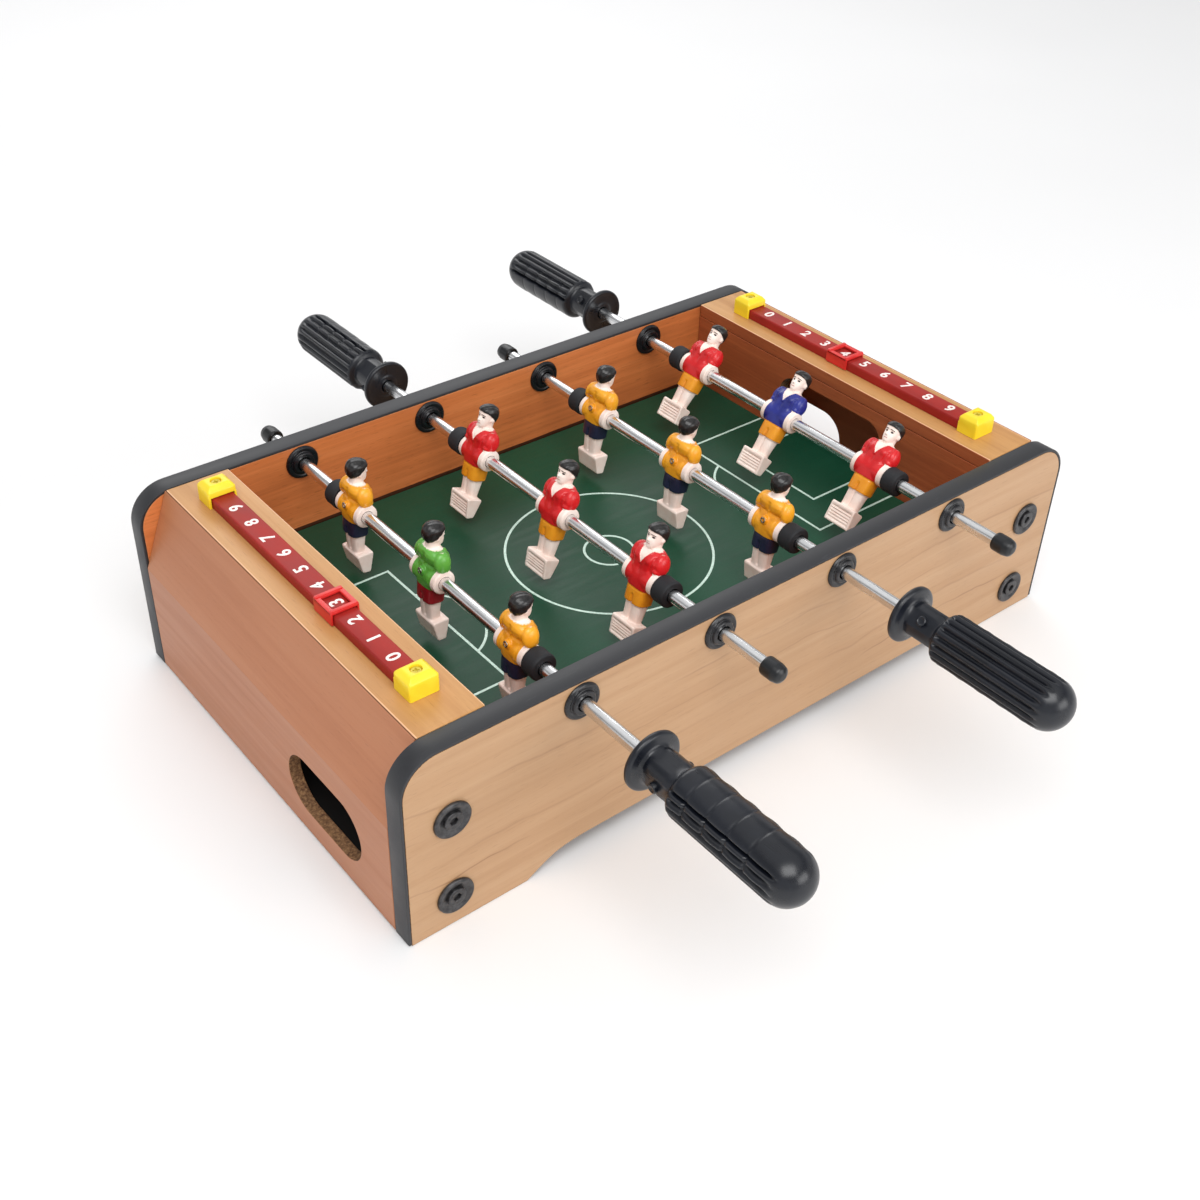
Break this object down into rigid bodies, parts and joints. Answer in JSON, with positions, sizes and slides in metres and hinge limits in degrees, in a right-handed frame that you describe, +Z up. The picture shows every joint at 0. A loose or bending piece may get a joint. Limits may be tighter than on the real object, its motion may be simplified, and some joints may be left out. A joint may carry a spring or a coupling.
{
  "type": "tabletop foosball game",
  "caption": "Tabletop foosball game: wood-grain cabinet with green pitch, goals, ball-return slots and sliding score counters, and sliding, turning rods with handles and painted figures.",
  "frame": {"origin": "middle of the footprint over the handles, on the surface that the four feet stand on; the cabinet's own middle lies 4.75 mm from it towards +Y, because the front handles reach out further than the rear ones where the rods rest", "axes": "+X along the pitch towards the right goal, +Y across the pitch along the rods towards the rear side panel, +Z up"},
  "size_m": [0.345, 0.417, 0.0982],
  "materials": {
    "maple_laminate": "satin printed maple wood-grain laminate on MDF",
    "cherry_laminate": "satin red-brown wood-grain laminate on MDF",
    "end_laminate": "satin light cherry wood-grain laminate on MDF",
    "edge_trim": "charcoal satin edge band",
    "pitch": "dark green printed hardboard with pale mint lines",
    "rod_steel": "polished chrome-plated steel",
    "grip_black": "near-black semi-gloss moulded plastic",
    "bush_black": "black semi-gloss moulded plastic",
    "bumper_rubber": "dark matt rubber",
    "block_yellow": "bright yellow moulded plastic",
    "rail_red": "dark red moulded plastic with white numerals",
    "slider_red": "bright red moulded plastic",
    "figure_yellow": "painted plastic: yellow shirt, navy shorts, cream skin, black hair",
    "figure_red": "painted plastic: red shirt, orange shorts, cream skin, black hair",
    "figure_green": "painted plastic: green shirt, dark red shorts, cream skin, black hair",
    "figure_blue": "painted plastic: blue shirt, orange shorts, cream skin, black hair"
  },
  "bodies": {
    "cabinet": {"side_panel_front": "maple_laminate", "side_panel_rear": "maple_laminate", "edge_trim_front": "edge_trim", "edge_trim_rear": "edge_trim", "play_field": "pitch", "goal_wall_left": "cherry_laminate", "end_shelf_left": "end_laminate", "end_casing_left": "end_laminate", "score_rail_left": "rail_red", "score_block_left_front": "block_yellow", "score_block_left_rear": "block_yellow", "goal_wall_right": "cherry_laminate", "end_shelf_right": "end_laminate", "end_casing_right": "end_laminate", "score_rail_right": "rail_red", "score_block_right_front": "block_yellow", "score_block_right_rear": "block_yellow", "bushing_1_front": "bush_black", "bushing_1_rear": "bush_black", "bushing_2_front": "bush_black", "bushing_2_rear": "bush_black", "bushing_3_front": "bush_black", "bushing_3_rear": "bush_black", "bushing_4_front": "bush_black", "bushing_4_rear": "bush_black"},
    "rod_1_stops": {"bumper_1_front": "bumper_rubber", "bumper_1_rear": "bumper_rubber"},
    "rod_1_team": {"rod_1": "rod_steel", "handle_1": "grip_black", "rod_cap_1": "bush_black", "figure_1_front": "figure_yellow", "figure_1_middle": "figure_green", "figure_1_rear": "figure_yellow"},
    "rod_2_stops": {"bumper_2_front": "bumper_rubber", "bumper_2_rear": "bumper_rubber"},
    "rod_2_team": {"rod_2": "rod_steel", "handle_2": "grip_black", "rod_cap_2": "bush_black", "figure_2_front": "figure_red", "figure_2_middle": "figure_red", "figure_2_rear": "figure_red"},
    "rod_3_stops": {"bumper_3_front": "bumper_rubber", "bumper_3_rear": "bumper_rubber"},
    "rod_3_team": {"rod_3": "rod_steel", "handle_3": "grip_black", "rod_cap_3": "bush_black", "figure_3_front": "figure_yellow", "figure_3_middle": "figure_yellow", "figure_3_rear": "figure_yellow"},
    "rod_4_stops": {"bumper_4_front": "bumper_rubber", "bumper_4_rear": "bumper_rubber"},
    "rod_4_team": {"rod_4": "rod_steel", "handle_4": "grip_black", "rod_cap_4": "bush_black", "figure_4_front": "figure_red", "figure_4_middle": "figure_blue", "figure_4_rear": "figure_red"},
    "score_slider_left": {"score_slider_left": "slider_red"},
    "score_slider_right": {"score_slider_right": "slider_red"}
  },
  "joints": [
    {"name": "rod_1_slide", "type": "slide", "parent": "cabinet", "child": "rod_1_stops", "axis": [0, 1, 0], "range_m": [-0.00965, 0.02565]},
    {"name": "rod_1_spin", "type": "hinge", "parent": "rod_1_stops", "child": "rod_1_team", "pos_m": [-0.0975, 0.00475, 0.0757], "axis": [0, 1, 0], "continuous": true},
    {"name": "rod_2_slide", "type": "slide", "parent": "cabinet", "child": "rod_2_stops", "axis": [0, 1, 0], "range_m": [-0.01505, 0.02025]},
    {"name": "rod_2_spin", "type": "hinge", "parent": "rod_2_stops", "child": "rod_2_team", "pos_m": [-0.0323, 0.00475, 0.0757], "axis": [0, 1, 0], "continuous": true},
    {"name": "rod_3_slide", "type": "slide", "parent": "cabinet", "child": "rod_3_stops", "axis": [0, 1, 0], "range_m": [-0.01185, 0.02345]},
    {"name": "rod_3_spin", "type": "hinge", "parent": "rod_3_stops", "child": "rod_3_team", "pos_m": [0.0323, 0.00475, 0.0757], "axis": [0, 1, 0], "continuous": true},
    {"name": "rod_4_slide", "type": "slide", "parent": "cabinet", "child": "rod_4_stops", "axis": [0, 1, 0], "range_m": [-0.01615, 0.01915]},
    {"name": "rod_4_spin", "type": "hinge", "parent": "rod_4_stops", "child": "rod_4_team", "pos_m": [0.0975, 0.00475, 0.0757], "axis": [0, 1, 0], "continuous": true},
    {"name": "score_left_slide", "type": "slide", "parent": "cabinet", "child": "score_slider_left", "axis": [0, 1, 0], "range_m": [-0.04105, 0.08115]},
    {"name": "score_right_slide", "type": "slide", "parent": "cabinet", "child": "score_slider_right", "axis": [0, 1, 0], "range_m": [-0.06705, 0.05335]}
  ]
}
